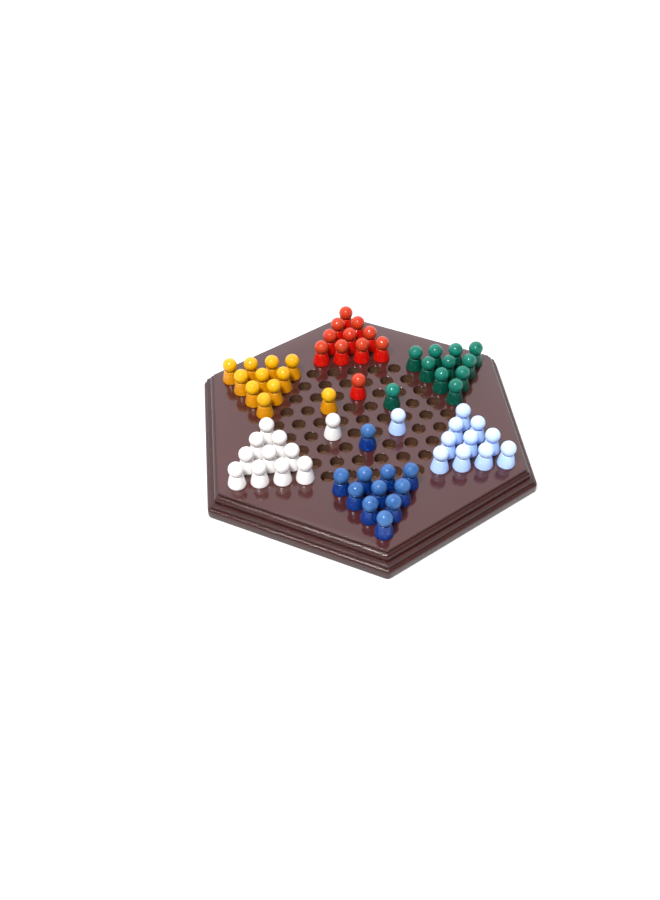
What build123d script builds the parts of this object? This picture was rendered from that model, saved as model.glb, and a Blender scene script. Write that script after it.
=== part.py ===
"""Hexagonal Chinese checkers board with 121 peg holes in a star and six colours of wooden pegs.

The origin is on the table under the middle of the board, with +Z up and the red corner at +Y.
All sizes are in millimetres.
"""

from build123d import *
from math import cos, radians, sin, sqrt
import os

# Hole pattern
spacing = 15.0
row_pitch = spacing * sqrt(3) / 2
field_rows = 4  # rows of holes on each side of the middle row
tip_row = 2 * field_rows  # row of the last hole in each point of the star
centre_row = 2  # row of the peg that each colour has in the middle of the board
hole_diameter = 9.5
hole_rim = 0.3

# Board, from the table up. A reach is the distance from the middle to a flat side of a hexagon.
foot_height = 1.0
foot_radius = 6.0
foot_circle = 100.0
base_height = 10.0
panel_height = 7.0
side_reach = 110.7
ledge_reach = 108.4
bead_reach = 105.6
top_reach = 102.7
side_edge_height = 7.1  # height of the side band and its rounded edge, out of base_height
bead_height = 5.0  # height of the rounded step, out of panel_height
side_corner = 4.0
moulding_corner = 1.5
lower_edge = 0.8
top_edge = 0.4

# Peg, measured up from its shoulder, which stands on the board
peg_base_radius = 6.2
peg_foot_radius = 5.9
peg_rim_height = 0.5
skirt_swell = 0.2  # how far the skirt bulges out of a straight cone
shoulder_radius = 4.25
shoulder_height = 8.8
neck_radius = 3.1
ball_radius = 5.2
ball_gap = 5.0  # from the shoulder up to the middle of the ball
stem_radius = 4.4
stem_length = 6.4
stem_chamfer = 0.6

base_top = foot_height + base_height
board_top = base_top + panel_height
colours = {"red": 90, "green": 30, "light_blue": -30, "blue": -90, "white": -150, "yellow": 150}


def row_places(angle, row, count):
    """Places of a centred row of holes that is row rows from the middle, towards angle."""
    along = (cos(radians(angle)), sin(radians(angle)))
    across = (-along[1], along[0])
    offsets = [(index - (count - 1) / 2) * spacing for index in range(count)]
    reach = row * row_pitch
    return [(along[0] * reach + across[0] * s, along[1] * reach + across[1] * s) for s in offsets]


def arm_places(angle, first_row, last_row):
    """Places in one point of the star, where each row outwards has one hole less."""
    rows = range(first_row, last_row + 1)
    return [place for row in rows for place in row_places(angle, row, tip_row + 1 - row)]


def field_places():
    """Places in the hexagonal middle field."""
    rows = range(-field_rows, field_rows + 1)
    return [place for row in rows for place in row_places(90, row, tip_row + 1 - abs(row))]


def all_places():
    """Places of all 121 holes."""
    arms = [arm_places(angle, field_rows + 1, tip_row) for angle in colours.values()]
    return field_places() + [place for arm in arms for place in arm]


def hexagon(reach):
    """Hexagon with its corners on +Y and -Y and its flat sides at reach, in the open sketch."""
    return RegularPolygon(reach, 6, major_radius=False, rotation=30)


def save(part, name):
    """Label a finished piece and write it as parts/name.step."""
    part.label = name
    export_step(part, f"parts/{name}.step")


def build_base():
    """Lower tier: a side band with a rounded top edge, and a ledge step that carries the panel."""
    with BuildPart() as base:
        with BuildSketch(Plane.XY.offset(foot_height)):
            hexagon(side_reach)
        extrude(amount=side_edge_height)
        fillet(base.edges().filter_by(Axis.Z), radius=side_corner)
        top_loop = base.faces().sort_by(Axis.Z)[-1].edges()
        fillet(top_loop, radius=side_reach - ledge_reach)
        fillet(base.faces().sort_by(Axis.Z)[0].edges(), radius=lower_edge)
        with BuildSketch(Plane.XY.offset(foot_height + side_edge_height)) as ledge:
            hexagon(ledge_reach)
            fillet(ledge.vertices(), radius=moulding_corner)
        extrude(amount=base_height - side_edge_height)
    return base.part


def build_panel():
    """Upper tier: a rounded step below a flat top, with every hole drilled right through."""
    with BuildPart() as panel:
        with BuildSketch(Plane.XY.offset(base_top)):
            hexagon(bead_reach)
        extrude(amount=bead_height)
        fillet(panel.edges().filter_by(Axis.Z), radius=bead_reach - top_reach + moulding_corner)
        fillet(panel.faces().sort_by(Axis.Z)[-1].edges(), radius=bead_reach - top_reach)
        with BuildSketch(Plane.XY.offset(base_top + bead_height)) as top:
            hexagon(top_reach)
            fillet(top.vertices(), radius=moulding_corner)
        extrude(amount=panel_height - bead_height)
        fillet(panel.faces().sort_by(Axis.Z)[-1].edges(), radius=top_edge)
        with BuildSketch(Plane.XY.offset(board_top)):
            with Locations(*all_places()):
                Circle(hole_diameter / 2)
        extrude(amount=-panel_height, mode=Mode.SUBTRACT)
        rims = panel.faces().sort_by(Axis.Z)[-1].edges().filter_by(GeomType.CIRCLE)
        chamfer(rims.filter_by(lambda rim: abs(rim.radius - hole_diameter / 2) < hole_rim), hole_rim)
    return panel.part


def build_feet():
    """Six felt pads under the corners of the board."""
    with BuildPart() as feet:
        with BuildSketch():
            with PolarLocations(foot_circle, 6, start_angle=30):
                Circle(foot_radius)
        extrude(amount=foot_height)
    return feet.part


def build_peg():
    """One turned peg at the middle of the board, with its stem down in the hole."""
    stem_end = -stem_length
    ball_centre = shoulder_height + ball_gap
    neck_height = ball_centre - sqrt(ball_radius**2 - neck_radius**2)
    taper = peg_base_radius - shoulder_radius
    rise = shoulder_height - peg_rim_height
    with BuildPart() as peg:
        with BuildSketch(Plane(origin=(0, 0, board_top), x_dir=(1, 0, 0), z_dir=(0, -1, 0))):
            with BuildLine():
                Polyline(
                    (0, ball_centre + ball_radius),
                    (0, stem_end),
                    (stem_radius - stem_chamfer, stem_end),
                    (stem_radius, stem_end + stem_chamfer),
                    (stem_radius, 0),
                    (peg_foot_radius, 0),
                )
                rim = Bezier((peg_foot_radius, 0), (peg_base_radius, 0), (peg_base_radius, peg_rim_height))
                skirt = Bezier(
                    rim @ 1,
                    (peg_base_radius - taper / 3 + skirt_swell, peg_rim_height + rise / 3),
                    (shoulder_radius + taper / 3 + skirt_swell, shoulder_height - rise / 3),
                    (shoulder_radius, shoulder_height),
                )
                neck = Bezier(
                    skirt @ 1,
                    (shoulder_radius, neck_height),
                    (neck_radius, neck_height),
                )
                ThreePointArc(neck @ 1, (ball_radius, ball_centre), (0, ball_centre + ball_radius))
            make_face()
        revolve(axis=Axis.Z)
    return peg.part


def place_pegs(peg, places):
    """Copies of the peg standing in the given holes, as one part."""
    with BuildPart() as pegs:
        with Locations(*places):
            add(peg)
    return pegs.part


def main():
    """Build every piece and write it."""
    os.makedirs("parts", exist_ok=True)
    save(build_base(), "moulded_base")
    save(build_panel(), "drilled_top_panel")
    save(build_feet(), "felt_feet")
    peg = build_peg()
    for colour, angle in colours.items():
        inner_places = arm_places(angle, field_rows + 1, tip_row - 2)
        for number, place in enumerate(inner_places, start=1):
            save(place_pegs(peg, [place]), f"{colour}_peg_{number}")
        save(place_pegs(peg, row_places(angle, centre_row, 1)), f"{colour}_centre_peg")
        save(place_pegs(peg, arm_places(angle, tip_row - 1, tip_row)), f"{colour}_tip_pegs")


main()
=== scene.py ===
import math
import random

import bpy
from mathutils import Matrix, Vector
from mathutils.geometry import delaunay_2d_cdt


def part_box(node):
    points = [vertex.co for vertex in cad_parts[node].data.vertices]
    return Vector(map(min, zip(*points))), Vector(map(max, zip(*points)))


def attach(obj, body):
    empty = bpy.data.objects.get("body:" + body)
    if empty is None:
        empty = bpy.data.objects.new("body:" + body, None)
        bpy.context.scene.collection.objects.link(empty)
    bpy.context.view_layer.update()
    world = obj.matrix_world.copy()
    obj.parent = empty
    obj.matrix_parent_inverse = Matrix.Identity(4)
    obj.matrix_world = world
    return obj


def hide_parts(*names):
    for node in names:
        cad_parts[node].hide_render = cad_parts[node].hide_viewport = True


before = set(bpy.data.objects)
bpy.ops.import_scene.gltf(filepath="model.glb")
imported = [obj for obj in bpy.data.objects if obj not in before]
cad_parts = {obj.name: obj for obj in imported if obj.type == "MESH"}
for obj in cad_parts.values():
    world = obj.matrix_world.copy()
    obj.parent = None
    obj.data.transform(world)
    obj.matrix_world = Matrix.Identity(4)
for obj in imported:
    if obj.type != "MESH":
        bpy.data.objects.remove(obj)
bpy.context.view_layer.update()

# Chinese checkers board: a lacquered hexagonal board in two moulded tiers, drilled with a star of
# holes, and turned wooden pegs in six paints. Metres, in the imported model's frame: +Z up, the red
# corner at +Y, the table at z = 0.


def centre_of(node):
    """Middle of a CAD node's box."""
    low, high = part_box(node)
    return (low + high) / 2


MM = 0.001
COLOURS = {"red": 90, "green": 30, "light_blue": -30, "blue": -90, "white": -150, "yellow": 150}
SPACING = (centre_of("red_peg_2") - centre_of("red_peg_1")).length
ROW_PITCH = SPACING * math.sqrt(3) / 2
FIELD_ROWS = 4
TIP_ROW = 2 * FIELD_ROWS
CENTRE_ROW = 2

BASE_LOW, BASE_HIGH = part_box("moulded_base")
PANEL_LOW, PANEL_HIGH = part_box("drilled_top_panel")
SIDE_REACH = BASE_HIGH.x
BEAD_REACH = PANEL_HIGH.x
BOARD_TOP = PANEL_HIGH.z
LEDGE_TOP = BASE_HIGH.z
BASE_BOTTOM = BASE_LOW.z
TOP_REACH = BEAD_REACH - 2.9 * MM
LEDGE_REACH = SIDE_REACH - 2.3 * MM
BEAD_TOP = LEDGE_TOP + 5.0 * MM
SIDE_TOP = BASE_BOTTOM + 7.1 * MM
HEAD_LOW = 9.6 * MM  # height of the underside of a peg's ball over the board
HOLE_RADIUS = 4.75 * MM
HOLE_RIM = 0.35 * MM
PAD_RADIUS = 6.0 * MM

CORNER_STEPS = 8
HOLE_STEPS = 40
PEG_STEPS = 56
PEG_SEED = 66

FACES, RAW, EDGES = 0, 1, 2  # material slots of the two tiers


# Places in the star

def row_places(angle, row, count):
    """Places of a centred row of holes that is row rows from the middle, towards angle."""
    along = Vector((math.cos(math.radians(angle)), math.sin(math.radians(angle))))
    across = Vector((-along.y, along.x))
    offsets = [(index - (count - 1) / 2) * SPACING for index in range(count)]
    return [along * row * ROW_PITCH + across * offset for offset in offsets]


def arm_places(angle, first_row, last_row):
    """Places in one point of the star, where each row outwards has one hole less."""
    rows = range(first_row, last_row + 1)
    return [place for row in rows for place in row_places(angle, row, TIP_ROW + 1 - row)]


def all_places():
    """Places of every hole."""
    rows = range(-FIELD_ROWS, FIELD_ROWS + 1)
    field = [place for row in rows for place in row_places(90, row, TIP_ROW + 1 - abs(row))]
    arms = [arm_places(angle, FIELD_ROWS + 1, TIP_ROW) for angle in COLOURS.values()]
    return field + [place for arm in arms for place in arm]


# Mesh building

class MeshMaker:
    """Collects vertices and faces of one closed piece and turns them into an object."""

    def __init__(self):
        self.points = []
        self.faces = []
        self.slots = []

    def ring(self, points, z):
        """Add a closed loop of (x, y) points at height z and return its vertex numbers."""
        first = len(self.points)
        self.points += [(x, y, z) for x, y in points]
        return list(range(first, len(self.points)))

    def face(self, corners, slot=0):
        """Add one face with the material of a slot."""
        self.faces.append(corners)
        self.slots.append(slot)

    def bridge(self, lower, upper, slot=0):
        """Quads between two rings; they face outwards where the rings run anticlockwise."""
        count = len(lower)
        for k in range(count):
            after = (k + 1) % count
            self.face((lower[k], lower[after], upper[after], upper[k]), slot)

    def fan(self, ring, tip, slot=0):
        """Triangles from a ring to one point, in the ring's direction."""
        self.points.append(tip)
        last = len(self.points) - 1
        for k in range(len(ring)):
            self.face((ring[k], ring[(k + 1) % len(ring)], last), slot)

    def plate(self, outline, holes, up=True, slot=0):
        """Flat face inside the ring outline with the rings in holes left open."""
        rings = [outline, *holes]
        order = [index for ring in rings for index in ring]
        flat = [Vector(self.points[index][:2]) for index in order]
        edges = []
        start = 0
        for ring in rings:
            edges += [(start + k, start + (k + 1) % len(ring)) for k in range(len(ring))]
            start += len(ring)
        _, _, triangles, *_ = delaunay_2d_cdt(flat, edges, [], 0, 1e-9)
        ring_of = {index: number for number, ring in enumerate(rings) for index in ring}
        for triangle in triangles:
            corners = [order[k] for k in triangle]
            owners = {ring_of[index] for index in corners}
            if len(owners) == 1 and owners != {0}:
                continue
            self.face(corners if up else corners[::-1], slot)

    def build(self, name, materials, smooth_angle=35):
        """Make the object, smooth shaded except across edges sharper than smooth_angle degrees."""
        mesh = bpy.data.meshes.new(name)
        mesh.from_pydata(self.points, [], self.faces)
        for material in materials:
            mesh.materials.append(material)
        mesh.polygons.foreach_set("material_index", self.slots)
        mesh.polygons.foreach_set("use_smooth", [True] * len(mesh.polygons))
        mesh.set_sharp_from_angle(angle=math.radians(smooth_angle))
        mesh.update()
        piece = bpy.data.objects.new(name, mesh)
        bpy.context.scene.collection.objects.link(piece)
        return piece


def circle(centre, radius, steps=HOLE_STEPS):
    """Anticlockwise (x, y) points of a circle."""
    turns = [2 * math.pi * k / steps for k in range(steps)]
    return [(centre[0] + radius * math.cos(t), centre[1] + radius * math.sin(t)) for t in turns]


def hexagon(reach, corner):
    """Anticlockwise points of a hexagon with corners on +Y and -Y, each rounded to radius corner."""
    points = []
    middle = (reach - corner) / math.cos(math.radians(30))
    for angle in range(30, 390, 60):
        turn = math.radians(angle)
        for step in range(CORNER_STEPS + 1):
            t = turn + math.radians(-30 + 60 * step / CORNER_STEPS)
            x = middle * math.cos(turn) + corner * math.cos(t)
            y = middle * math.sin(turn) + corner * math.sin(t)
            points.append((x, y))
    return points


def arc_steps(start, end, steps, dished=False):
    """(reach, z) points of a quarter round from start to end, bulging outwards, or dished."""
    points = []
    for k in range(steps + 1):
        t = math.pi / 2 * k / steps
        across, down = math.sin(t), 1 - math.cos(t)
        if dished:
            across, down = down, across
        points.append((start[0] + (end[0] - start[0]) * across, start[1] + (end[1] - start[1]) * down))
    return points


def bezier(controls, steps):
    """Points along a Bezier curve, without its first point."""
    points = []
    for k in range(1, steps + 1):
        t = k / steps
        row = [Vector(c) for c in controls]
        while len(row) > 1:
            row = [a.lerp(b, t) for a, b in zip(row, row[1:])]
        points.append(tuple(row[0]))
    return points


# Materials

def srgb(red, green, blue):
    """Linear colour with alpha from display values of 0 to 255."""
    def linear(value):
        value /= 255
        return value / 12.92 if value <= 0.04045 else ((value + 0.055) / 1.055) ** 2.4
    return (linear(red), linear(green), linear(blue), 1.0)


class Surface:
    """A procedural material: one Principled shader, and short ways to add and link nodes."""

    def __init__(self, name, **settings):
        self.material = bpy.data.materials.new(name)
        self.material.use_nodes = True
        self.tree = self.material.node_tree
        self.shader = self.tree.nodes["Principled BSDF"]
        for socket, value in settings.items():
            self.shader.inputs[socket.replace("_", " ")].default_value = value
        self.place = self.node("ShaderNodeTexCoord").outputs["Object"]

    def node(self, kind, values=None, **attributes):
        """Add a node, set its attributes and its unlinked inputs, and link the linked ones."""
        made = self.tree.nodes.new(kind)
        for name, value in attributes.items():
            setattr(made, name, value)
        for key, value in (values or {}).items():
            self.feed(value, made.inputs[key])
        return made

    def feed(self, value, socket):
        """Link an output to a socket, or set the socket to a plain value."""
        if isinstance(value, bpy.types.NodeSocket):
            self.tree.links.new(value, socket)
        else:
            socket.default_value = value

    def noise(self, scale, detail=4.0, roughness=0.55, place=None):
        """Noise of about 0 to 1; scale is in patches to the metre."""
        values = {"Vector": place or self.place, "Scale": scale, "Detail": detail, "Roughness": roughness}
        return self.node("ShaderNodeTexNoise", values).outputs["Fac"]

    def between(self, value, low, high, start=0.0, end=1.0):
        """Map value from low..high to start..end."""
        values = {"Value": value, "From Min": low, "From Max": high, "To Min": start, "To Max": end}
        return self.node("ShaderNodeMapRange", values).outputs["Result"]

    def maths(self, operation, first, second):
        """Result of a Blender maths operation on two values."""
        return self.node("ShaderNodeMath", {0: first, 1: second}, operation=operation).outputs[0]

    def mix(self, factor, first, second):
        """Colour from first, at factor 0, to second, at factor 1."""
        values = {0: factor, 6: first, 7: second}
        return self.node("ShaderNodeMix", values, data_type="RGBA").outputs[2]

    def height(self):
        """Height in the piece's own frame."""
        return self.node("ShaderNodeSeparateXYZ", {0: self.place}).outputs["Z"]

    def bump(self, height, distance, strength, below=None):
        """Normal for a relief of the given depth in metres, over the normal of another relief."""
        values = {"Height": height, "Distance": distance, "Strength": strength}
        if below is not None:
            values["Normal"] = below
        return self.node("ShaderNodeBump", values).outputs["Normal"]

    def finish(self, colour, roughness=None, normal=None, coat_normal=None):
        """Link the finished colour, roughness and normals to the shader."""
        self.feed(colour, self.shader.inputs["Base Color"])
        for socket, value in (("Roughness", roughness), ("Normal", normal), ("Coat Normal", coat_normal)):
            if value is not None:
                self.feed(value, self.shader.inputs[socket])
        return self.material


def lacquer():
    """Dark red-brown gloss lacquer on the flat faces, with a faint wave and a trace of fibre."""
    s = Surface("gloss_lacquer", Coat_Weight=1.0, Coat_Roughness=0.045, Coat_IOR=1.5,
                Specular_IOR_Level=0.1)
    cloud = s.noise(22.0, 3.0, 0.5)
    fibres = s.noise(1100.0, 4.0, 0.7)
    tone = s.mix(s.between(cloud, 0.3, 0.7), srgb(60, 22, 19), srgb(66, 25, 21))
    tone = s.mix(s.between(fibres, 0.35, 0.65, 0.0, 0.5), tone, srgb(45, 16, 13))
    wave = s.bump(s.noise(240.0, 2.0, 0.5), 0.03 * MM, 0.3)
    normal = s.bump(fibres, 0.02 * MM, 0.5, wave)
    return s.finish(tone, s.between(cloud, 0.3, 0.7, 0.42, 0.5), normal, normal)


def moulding_lacquer():
    """The same lacquer over routed edges, darker, and rough where the cut fibres stand up; the darker
    tone is partly stain in the cut fibre and partly painted shade on the side faces.
    """
    s = Surface("moulding_lacquer", Coat_Weight=0.62, Coat_Roughness=0.1, Coat_IOR=1.5,
                Specular_IOR_Level=0.1)
    cloud = s.noise(60.0, 3.0, 0.5)
    fibres = s.noise(950.0, 3.0, 0.6)
    pits = s.noise(2100.0, 2.0, 0.5)
    # Darker than the flat lacquer: partly stain in the cut fibre, partly painted shade on the moulded
    # sides
    tone = s.mix(s.between(cloud, 0.3, 0.7), srgb(48, 16, 13), srgb(58, 20, 17))
    tone = s.mix(s.between(pits, 0.4, 0.65, 0.0, 0.6), tone, srgb(33, 13, 10))
    normal = s.bump(fibres, 0.3 * MM, 0.9, s.bump(pits, 0.06 * MM, 0.6))
    return s.finish(tone, s.between(pits, 0.3, 0.7, 0.4, 0.55), normal, normal)


def raw_board():
    """Bare fibreboard in the drilled holes, stained by lacquer spray near the rim."""
    s = Surface("drilled_fibre", Specular_IOR_Level=0.2)
    speckle = s.noise(1500.0, 5.0, 0.7)
    patch = s.noise(210.0, 3.0, 0.6)
    tone = s.mix(s.between(patch, 0.35, 0.65), srgb(112, 78, 52), srgb(92, 63, 44))
    tone = s.mix(s.between(speckle, 0.42, 0.6), srgb(62, 42, 30), tone)
    wander = s.maths("MULTIPLY", s.noise(420.0, 2.0, 0.5), 0.8 * MM)
    depth = s.between(s.maths("ADD", s.height(), wander), BOARD_TOP - 1.1 * MM, BOARD_TOP - 0.2 * MM)
    tone = s.mix(depth, tone, srgb(34, 14, 11))
    normal = s.bump(speckle, 0.3 * MM, 0.9)
    return s.finish(tone, s.between(depth, 0.0, 1.0, 0.85, 0.6), normal)


# Display colours of each paint: on the head, on the skirt, and in its lighter mottle. Head and skirt
# tones differ partly in the paint and partly as painted light and shade, each set to how that part looks
# under the lamps
PAINTS = {
    "red": ((170, 58, 25), (186, 7, 1), (214, 84, 44)),
    "green": ((13, 112, 95), (0, 66, 50), (40, 126, 106)),
    "light_blue": ((184, 203, 234), (170, 198, 244), (222, 232, 248)),
    "blue": ((54, 97, 146), (2, 42, 112), (62, 112, 180)),
    "white": ((208, 204, 202), (226, 223, 221), (224, 221, 219)),
    "yellow": ((206, 156, 1), (190, 122, 1), (232, 196, 16)),
}


def paint(colour):
    """Brushed semi-gloss paint on a turned peg, which ends on its stem in bare wood; its head and skirt
    tones also carry painted light and shade.
    """
    head_tone_with_painted_light, skirt_tone_with_painted_shade, light = (srgb(*shade) for shade in PAINTS[colour])
    s = Surface(f"{colour}_paint", Coat_Weight=0.4, Coat_Roughness=0.1, Coat_IOR=1.5,
                Specular_IOR_Level=0.15)
    own = s.node("ShaderNodeObjectInfo").outputs["Random"]
    offset = s.node("ShaderNodeCombineXYZ", {0: own, 1: own, 2: own}).outputs[0]
    moved = s.node("ShaderNodeVectorMath", {0: s.place, 1: offset}, operation="ADD").outputs[0]
    grained = s.node("ShaderNodeMapping", {"Vector": moved, "Scale": (1.0, 1.0, 0.12)}).outputs[0]
    cloud = s.noise(160.0, 3.0, 0.55, moved)
    mottle = s.noise(620.0, 4.0, 0.65, moved)
    grain = s.noise(1400.0, 3.0, 0.5, grained)
    # Height mask from skirt tone to head tone: the change is partly the paint and partly painted light on
    # the head and painted shade on the skirt
    up = s.between(s.height(), HEAD_LOW - 1.5 * MM, HEAD_LOW + 2.5 * MM)
    tone = s.mix(up, skirt_tone_with_painted_shade, head_tone_with_painted_light)
    tone = s.mix(s.between(cloud, 0.4, 0.75, 0.0, 0.5), tone, skirt_tone_with_painted_shade)
    tone = s.mix(s.between(mottle, 0.54, 0.7, 0.0, 0.5), tone, light)
    tone = s.mix(s.between(own, 0.0, 1.0, 0.0, 0.25), tone, skirt_tone_with_painted_shade)
    ragged = s.maths("MULTIPLY", s.noise(500.0, 3.0, 0.6, moved), 4.0 * MM)
    paint_end = s.maths("ADD", s.height(), ragged)
    tone = s.mix(s.between(paint_end, -2.3 * MM, -2.9 * MM), tone, srgb(196, 160, 112))
    dimple = s.bump(mottle, 0.13 * MM, 0.7)
    normal = s.bump(grain, 0.06 * MM, 0.4, dimple)
    return s.finish(tone, s.between(mottle, 0.3, 0.7, 0.32, 0.45), normal, dimple)


def felt():
    """Dark green felt of the pads."""
    s = Surface("pad_felt", Specular_IOR_Level=0.1, Sheen_Weight=0.4)
    fibres = s.noise(2600.0, 4.0, 0.7)
    tone = s.mix(s.between(fibres, 0.35, 0.65), srgb(16, 30, 22), srgb(38, 58, 44))
    return s.finish(tone, s.between(fibres, 0.3, 0.7, 0.9, 1.0), s.bump(fibres, 0.2 * MM, 0.7))


def backdrop():
    """Plain floor that glows a little, so that it stays pale far from the lamps."""
    s = Surface("pale_floor", Emission_Color=(1.0, 1.0, 1.0, 1.0), Emission_Strength=0.55)
    tone = s.mix(s.noise(3.0, 2.0), (0.42, 0.42, 0.42, 1.0), (0.43, 0.43, 0.43, 1.0))
    return s.finish(tone, 0.6)


# Board

def moulded(maker, profile):
    """Rings through a profile of (reach, z, corner radius), from the bottom up, joined by quads."""
    rings = [maker.ring(hexagon(reach, corner), z) for reach, z, corner in profile]
    for lower, upper in zip(rings, rings[1:]):
        maker.bridge(lower, upper, EDGES)
    return rings


def with_corners(points, corner, outer_reach):
    """Give each (reach, z) a corner radius: corner at outer_reach, and tighter further in."""
    tightest = 1.2 * MM
    return [(reach, z, max(tightest, corner - (outer_reach - reach))) for reach, z in points]


def build_base(lacquered, raw, edged):
    """Lower tier: side band, rounded edge, ledge step, and the drilled floor of every hole."""
    lower_edge = 0.35 * MM
    arris = 0.35 * MM
    maker = MeshMaker()
    side = arc_steps((SIDE_REACH - lower_edge, BASE_BOTTOM), (SIDE_REACH, BASE_BOTTOM + lower_edge), 4)
    round_start = SIDE_TOP - (SIDE_REACH - LEDGE_REACH)
    side += arc_steps((LEDGE_REACH, SIDE_TOP), (SIDE_REACH, round_start), 12)[::-1]
    side += arc_steps((LEDGE_REACH - arris, LEDGE_TOP), (LEDGE_REACH, LEDGE_TOP - arris), 3)[::-1]
    rings = moulded(maker, with_corners(side, 4.0 * MM, SIDE_REACH))
    maker.plate(rings[0], [], up=False)
    scored_floor = [(4.6, 0.0), (4.4, -0.2), (4.2, -0.03), (1.0, -0.03)]
    drill_tip = -0.75 * MM
    floors = []
    for place in all_places():
        floor = [maker.ring(circle(place, r * MM), LEDGE_TOP + z * MM) for r, z in scored_floor]
        for outer, inner in zip(floor, floor[1:]):
            maker.bridge(outer, inner, RAW)
        maker.fan(floor[-1], (place.x, place.y, LEDGE_TOP + drill_tip), RAW)
        floors.append(floor[0])
    maker.plate(rings[-1], floors, slot=EDGES)
    return maker.build("moulded_base_board", [lacquered, raw, edged])


def build_panel(lacquered, raw, edged):
    """Upper tier: rounded bead, quirk and flat top, with round-lipped holes right through."""
    arris = 0.4 * MM
    lip_steps = 5
    maker = MeshMaker()
    round_start = BEAD_TOP - (BEAD_REACH - TOP_REACH)
    side = [(BEAD_REACH, LEDGE_TOP)]
    side += arc_steps((TOP_REACH, BEAD_TOP), (BEAD_REACH, round_start), 14)[::-1]
    side += arc_steps((TOP_REACH - arris, BOARD_TOP), (TOP_REACH, BOARD_TOP - arris), 4)[::-1]
    rings = moulded(maker, with_corners(side, 2.0 * MM, BEAD_REACH))
    lip = arc_steps((HOLE_RIM, 0.0), (0.0, -HOLE_RIM), lip_steps, dished=True)
    mouths, ends = [], []
    for place in all_places():
        hole = [maker.ring(circle(place, HOLE_RADIUS + out), BOARD_TOP + down) for out, down in lip]
        for upper, lower in zip(hole, hole[1:]):
            maker.bridge(upper, lower, FACES)
        end = maker.ring(circle(place, HOLE_RADIUS), LEDGE_TOP)
        maker.bridge(hole[-1], end, RAW)
        mouths.append(hole[0])
        ends.append(end)
    maker.plate(rings[-1], mouths, slot=FACES)
    maker.plate(rings[0], ends, up=False)
    return maker.build("drilled_panel_board", [lacquered, raw, edged])


def build_feet(material):
    """Six felt pads with a softly rounded edge, in one piece like their CAD node."""
    low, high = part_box("felt_feet")
    reach = high.y - PAD_RADIUS
    edge = 0.3 * MM
    maker = MeshMaker()
    for angle in range(30, 390, 60):
        turn = math.radians(angle)
        middle = (reach * math.cos(turn), reach * math.sin(turn))
        side = [(PAD_RADIUS - edge, low.z), (PAD_RADIUS, low.z + edge), (PAD_RADIUS, high.z)]
        rings = [maker.ring(circle(middle, r), z) for r, z in side]
        for lower, upper in zip(rings, rings[1:]):
            maker.bridge(lower, upper)
        maker.fan(rings[0][::-1], (*middle, low.z))
        maker.fan(rings[-1], (*middle, high.z))
    return maker.build("felt_pads", [material])


# Pegs

# Radii and heights of a peg in millimetres, with height 0 where it sits on the board

PEG_LOW, PEG_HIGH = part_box("red_peg_1")
PEG_TOP = round((PEG_HIGH.z - BOARD_TOP) / MM, 3)
STEM_LENGTH = round((BOARD_TOP - PEG_LOW.z) / MM, 3)
PEG_BASE = 6.2  # the box of a faceted circle is a little too narrow to give this
PEG_FOOT = 5.9
PEG_RIM = 0.5
PEG_SEAT = 4.9  # radius on which a leaning peg rests
SKIRT_SWELL = 0.2
SHOULDER = 4.25
SHOULDER_HEIGHT = 8.8
NECK = 3.1
BALL = 5.2
BALL_CENTRE = PEG_TOP - BALL
STEM = 4.4
DIMPLE = 0.35  # the mark of the lathe's centre, on top of the ball
DIMPLE_DEPTH = 0.2
BALL_STEPS = 24


def peg_profile(rng):
    """(radius, z) points of one turned peg from its stem's end up, and the height of its dimple."""
    base = PEG_BASE + rng.uniform(-0.05, 0.03)
    swell = SKIRT_SWELL + rng.uniform(-0.06, 0.06)
    shoulder = SHOULDER + rng.uniform(-0.06, 0.06)
    shoulder_height = SHOULDER_HEIGHT + rng.uniform(-0.1, 0.1)
    ball = BALL + rng.uniform(-0.06, 0.04)
    ball_centre = BALL_CENTRE + rng.uniform(-0.08, 0.05)
    neck_height = ball_centre - math.sqrt(ball**2 - NECK**2)

    side = [(STEM - 0.6, -STEM_LENGTH), (STEM - 0.1, 0.5 - STEM_LENGTH), (STEM, 0.8 - STEM_LENGTH)]
    side += [(STEM, -0.3), (STEM - 0.15, 0.0), (PEG_SEAT, 0.0), (PEG_FOOT, 0.0)]
    side += bezier([(PEG_FOOT, 0.0), (base, 0.0), (base, PEG_RIM)], 5)
    taper, rise = (base - shoulder) / 3, (shoulder_height - PEG_RIM) / 3
    lower = (base - taper + swell, PEG_RIM + rise)
    upper = (shoulder + taper + swell, shoulder_height - rise)
    side += bezier([(base, PEG_RIM), lower, upper, (shoulder, shoulder_height)], 16)
    side += bezier([(shoulder, shoulder_height), (shoulder, neck_height), (NECK, neck_height)], 7)
    low = math.asin((neck_height - ball_centre) / ball)
    high = math.acos(DIMPLE / ball)
    for k in range(1, BALL_STEPS + 1):
        t = low + (high - low) * k / BALL_STEPS
        side.append((ball * math.cos(t), ball_centre + ball * math.sin(t)))
    side.append((0.4 * DIMPLE, ball_centre + ball - 0.8 * DIMPLE_DEPTH))
    return [(radius * MM, z * MM) for radius, z in side], (ball_centre + ball - DIMPLE_DEPTH) * MM


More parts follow.
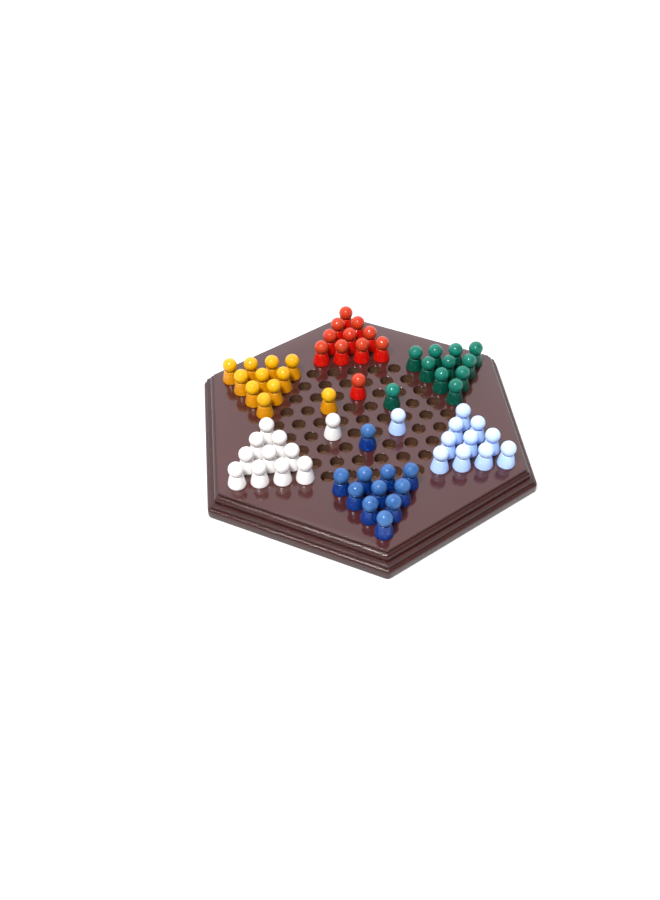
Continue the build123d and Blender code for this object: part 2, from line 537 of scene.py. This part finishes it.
def build_peg(name, place, material, rng):
    """One peg standing a little out of true in its hole, with slight turning marks."""
    maker = MeshMaker()
    side, top = peg_profile(rng)
    out_of_round = rng.uniform(0.002, 0.006)
    phase = rng.uniform(0, math.pi)
    rings = []
    for radius, z in side:
        ring = []
        for x, y in circle((0, 0), radius, PEG_STEPS):
            swell = 1 + out_of_round * math.cos(2 * (math.atan2(y, x) - phase))
            ring.append((x * swell, y * swell))
        rings.append(maker.ring(ring, z))
    for lower, upper in zip(rings, rings[1:]):
        maker.bridge(lower, upper)
    maker.fan(rings[0][::-1], (0, 0, side[0][1]))
    maker.fan(rings[-1], (0, 0, top))
    piece = maker.build(name, [material], smooth_angle=50)
    lean = math.radians(rng.uniform(0.0, 0.9))
    lean_axis = rng.uniform(0, 2 * math.pi)
    turned = Matrix.Rotation(rng.uniform(0, 2 * math.pi), 4, "Z")
    leaned = Matrix.Rotation(lean, 4, Vector((math.cos(lean_axis), math.sin(lean_axis), 0)))
    slack = rng.uniform(0, 0.18) * MM
    slip = rng.uniform(0, 2 * math.pi)
    lift = PEG_SEAT * MM * math.sin(lean)
    x = place.x + slack * math.cos(slip)
    y = place.y + slack * math.sin(slip)
    where = Vector((x, y, BOARD_TOP + lift))
    piece.matrix_world = Matrix.Translation(where) @ leaned @ turned
    return piece


def add_peg(node, name, place, material, rng):
    """Build a peg, let it ride on its body and stand for its node."""
    peg = build_peg(name, place, material, rng)
    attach(peg, node)
    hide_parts(node)


def add_pegs(colour, angle, material, rng):
    """The eleven pegs of one colour: seven singles, the centre peg, and the three at the tip."""
    inner = arm_places(angle, FIELD_ROWS + 1, TIP_ROW - 2)
    for number, place in enumerate(inner, start=1):
        node = f"{colour}_peg_{number}"
        add_peg(node, f"{node}_turned", place, material, rng)
    node = f"{colour}_centre_peg"
    add_peg(node, f"{node}_turned", row_places(angle, CENTRE_ROW, 1)[0], material, rng)
    for number, place in enumerate(arm_places(angle, TIP_ROW - 1, TIP_ROW), start=1):
        add_peg(f"{colour}_tip_pegs", f"{colour}_tip_peg_{number}", place, material, rng)


# Studio

# Where the sky's brightness starts and stops changing, then the two brightnesses
BACKDROP_FADE = (0.1, 0.5, 0.07, 1.75)  # from the camera's side to the far side
HORIZON_FADE = (0.1, 0.65, 1.0, 0.28)  # from the floor up
SKY_COLOUR = (0.95, 0.94, 1.0, 1.0)
FLOOR_WIDTH = 80.0

# The camera, fitted to the photograph
CAMERA_AZIMUTH = -6.04
CAMERA_ELEVATION = 45.33
CAMERA_DISTANCE = 0.6797
CAMERA_AIM = Vector((-0.0260, -0.0274, BOARD_TOP))


def plane(name, width, material):
    """Square floor at z = 0."""
    half = width / 2
    corners = [(-half, -half, 0), (half, -half, 0), (half, half, 0), (-half, half, 0)]
    mesh = bpy.data.meshes.new(name)
    mesh.from_pydata(corners, [], [(0, 1, 2, 3)])
    mesh.materials.append(material)
    floor = bpy.data.objects.new(name, mesh)
    bpy.context.scene.collection.objects.link(floor)
    return floor


def direction(azimuth, elevation):
    """Unit vector towards a place round the object; azimuth 0 is on the -Y side, 90 on +X."""
    a, e = math.radians(azimuth), math.radians(elevation)
    return Vector((math.sin(a) * math.cos(e), -math.cos(a) * math.cos(e), math.sin(e)))


def softbox(name, azimuth, elevation, distance, size, watts):
    """Rectangular area light aimed at the board."""
    light = bpy.data.lights.new(name, "AREA")
    light.shape = "RECTANGLE"
    light.size, light.size_y = size
    light.energy = watts
    lamp = bpy.data.objects.new(name, light)
    towards = direction(azimuth, elevation)
    lamp.location = Vector((0, 0, BOARD_TOP)) + towards * distance
    lamp.rotation_mode = "QUATERNION"
    lamp.rotation_quaternion = (-towards).to_track_quat("-Z", "Y")
    bpy.context.scene.collection.objects.link(lamp)


def studio_sky():
    """White studio surroundings: a bright backdrop, a pale horizon and a dim camera side."""
    world = bpy.data.worlds.new("studio")
    bpy.context.scene.world = world
    world.use_nodes = True
    tree = world.node_tree
    place = tree.nodes.new("ShaderNodeTexCoord").outputs["Generated"]
    split = tree.nodes.new("ShaderNodeSeparateXYZ")
    tree.links.new(place, split.inputs[0])

    def fade(output, low, high, start, end):
        step = tree.nodes.new("ShaderNodeMapRange")
        step.interpolation_type = "SMOOTHSTEP"
        for key, value in (("From Min", low), ("From Max", high), ("To Min", start), ("To Max", end)):
            step.inputs[key].default_value = value
        tree.links.new(split.outputs[output], step.inputs["Value"])
        return step.outputs["Result"]

    brighter = tree.nodes.new("ShaderNodeMath")
    brighter.operation = "MAXIMUM"
    tree.links.new(fade("Y", *BACKDROP_FADE), brighter.inputs[0])
    tree.links.new(fade("Z", *HORIZON_FADE), brighter.inputs[1])
    back = tree.nodes["Background"]
    tree.links.new(brighter.outputs[0], back.inputs["Strength"])
    back.inputs["Color"].default_value = SKY_COLOUR


def camera():
    """Camera at the photograph's viewing angle, a little left of square on."""
    data = bpy.data.cameras.new("camera")
    data.sensor_width = 36
    data.lens = 40.0
    data.clip_start, data.clip_end = 0.01, 20
    view = bpy.data.objects.new("camera", data)
    back = direction(CAMERA_AZIMUTH, CAMERA_ELEVATION)
    view.location = CAMERA_AIM + back * CAMERA_DISTANCE
    view.rotation_mode = "QUATERNION"
    view.rotation_quaternion = (-back).to_track_quat("-Z", "Y")
    bpy.context.scene.collection.objects.link(view)
    bpy.context.scene.camera = view


def main():
    """Build the board, the pegs and the studio."""
    camera()
    rng = random.Random(PEG_SEED)
    gloss, edged, raw, pad = lacquer(), moulding_lacquer(), raw_board(), felt()
    board = [
        (build_base(gloss, raw, edged), "moulded_base", "lacquered_board"),
        (build_panel(gloss, raw, edged), "drilled_top_panel", "lacquered_board"),
        (build_feet(pad), "felt_feet", "felt"),
    ]
    for piece, node, slot in board:
        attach(piece, "board")
        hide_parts(node)
    for colour, angle in COLOURS.items():
        add_pegs(colour, angle, paint(colour), rng)
    plane("floor", FLOOR_WIDTH, backdrop())
    studio_sky()
    softbox("key", -36, 62, 1.1, (0.22, 0.17), 19)
    softbox("top", 60, 86, 1.3, (1.2, 1.2), 2.5)
    bpy.context.scene.view_settings.view_transform = "Standard"


main()
